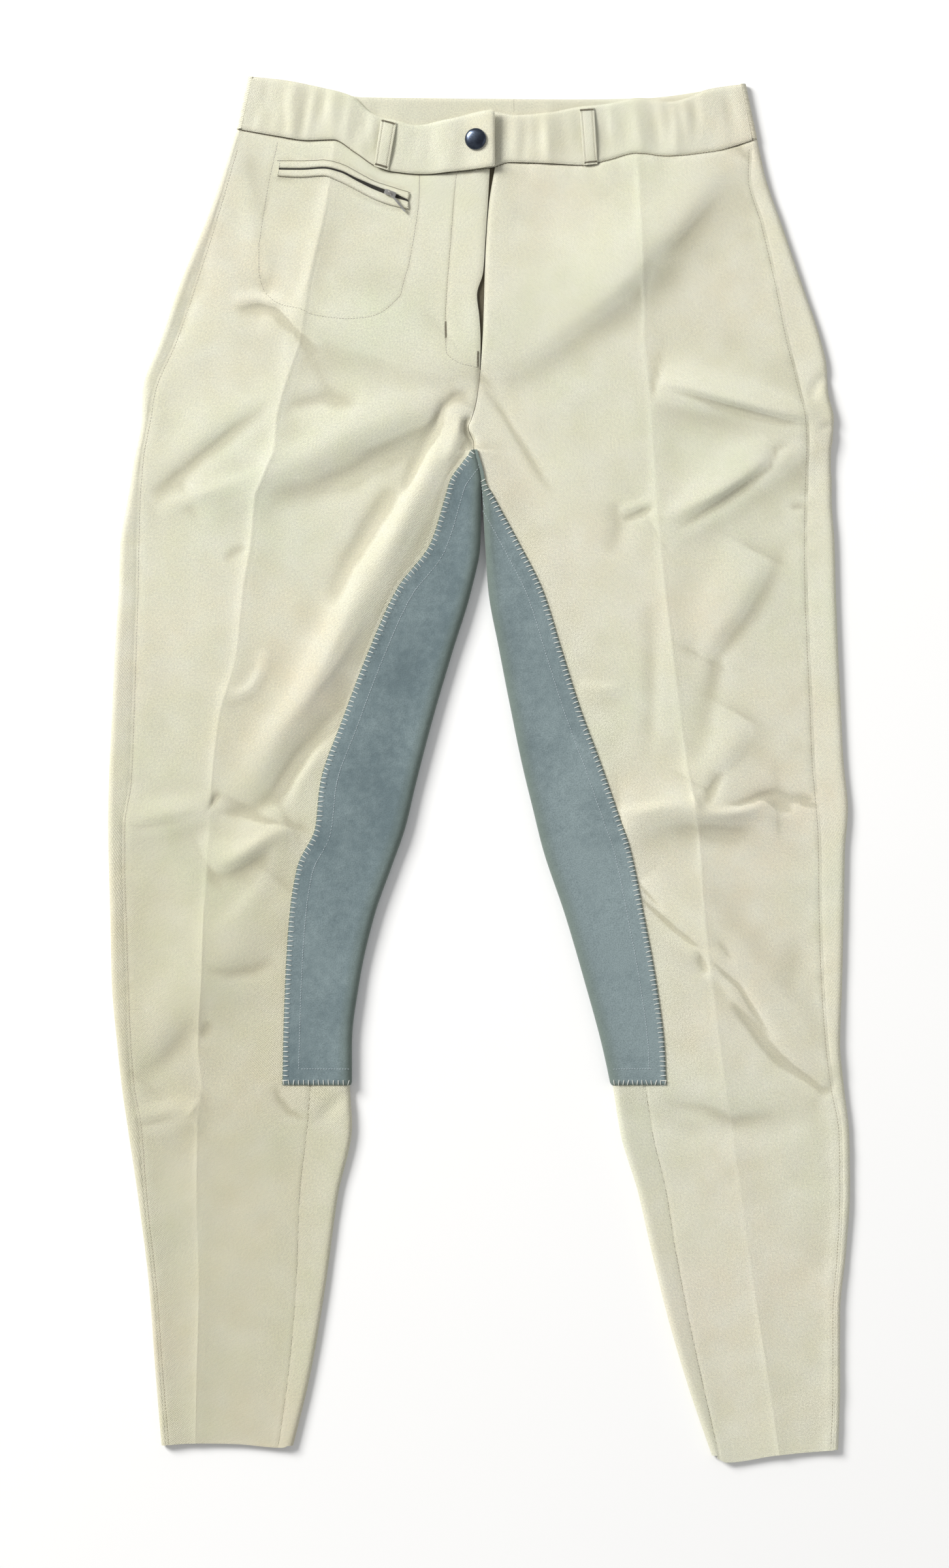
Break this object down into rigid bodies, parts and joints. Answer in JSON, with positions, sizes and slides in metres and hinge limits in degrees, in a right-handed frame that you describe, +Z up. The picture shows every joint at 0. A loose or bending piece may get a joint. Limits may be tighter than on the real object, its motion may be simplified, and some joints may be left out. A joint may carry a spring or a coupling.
{
  "type": "riding breeches",
  "caption": "Riding breeches laid flat: cream twill legs, grey suede full seat, snapped waistband with belt loops, fly opening and a zipped welt pocket.",
  "frame": {"origin": "on the surface the breeches lie on, under the middle of their box", "axes": "+Y from the hems to the waist, +Z up from the surface, -X towards the wearer's right leg"},
  "size_m": [0.5229, 0.9759, 0.0157],
  "materials": {
    "twill": "cream stretch twill, matt",
    "suede": "blue-grey brushed suede, matt",
    "snap_metal": "dark gunmetal, glossy",
    "zip_metal": "nickel plate",
    "zip_tape": "black woven tape"
  },
  "bodies": {
    "garment": {"front_right": "twill", "front_left": "twill", "back_right": "twill", "back_left": "twill", "suede_right": "suede", "suede_left": "suede", "fly_underlap": "twill", "waistband_right": "twill", "waistband_left": "twill", "waistband_back": "twill", "belt_loop_right": "twill", "belt_loop_left": "twill", "snap_cap": "snap_metal", "snap_stud": "snap_metal", "pocket_welt_upper": "twill", "pocket_welt_lower": "twill", "pocket_zip": "zip_tape", "zip_slider": "zip_metal"},
    "pull": {"pull_tab": "zip_metal"}
  },
  "joints": [
    {"name": "pull_hinge", "type": "hinge", "parent": "garment", "child": "pull", "pos_m": [-0.0626, 0.4056, 0.00873], "axis": [-0.7771, -0.6293, 0], "range_deg": [0, 150]}
  ]
}
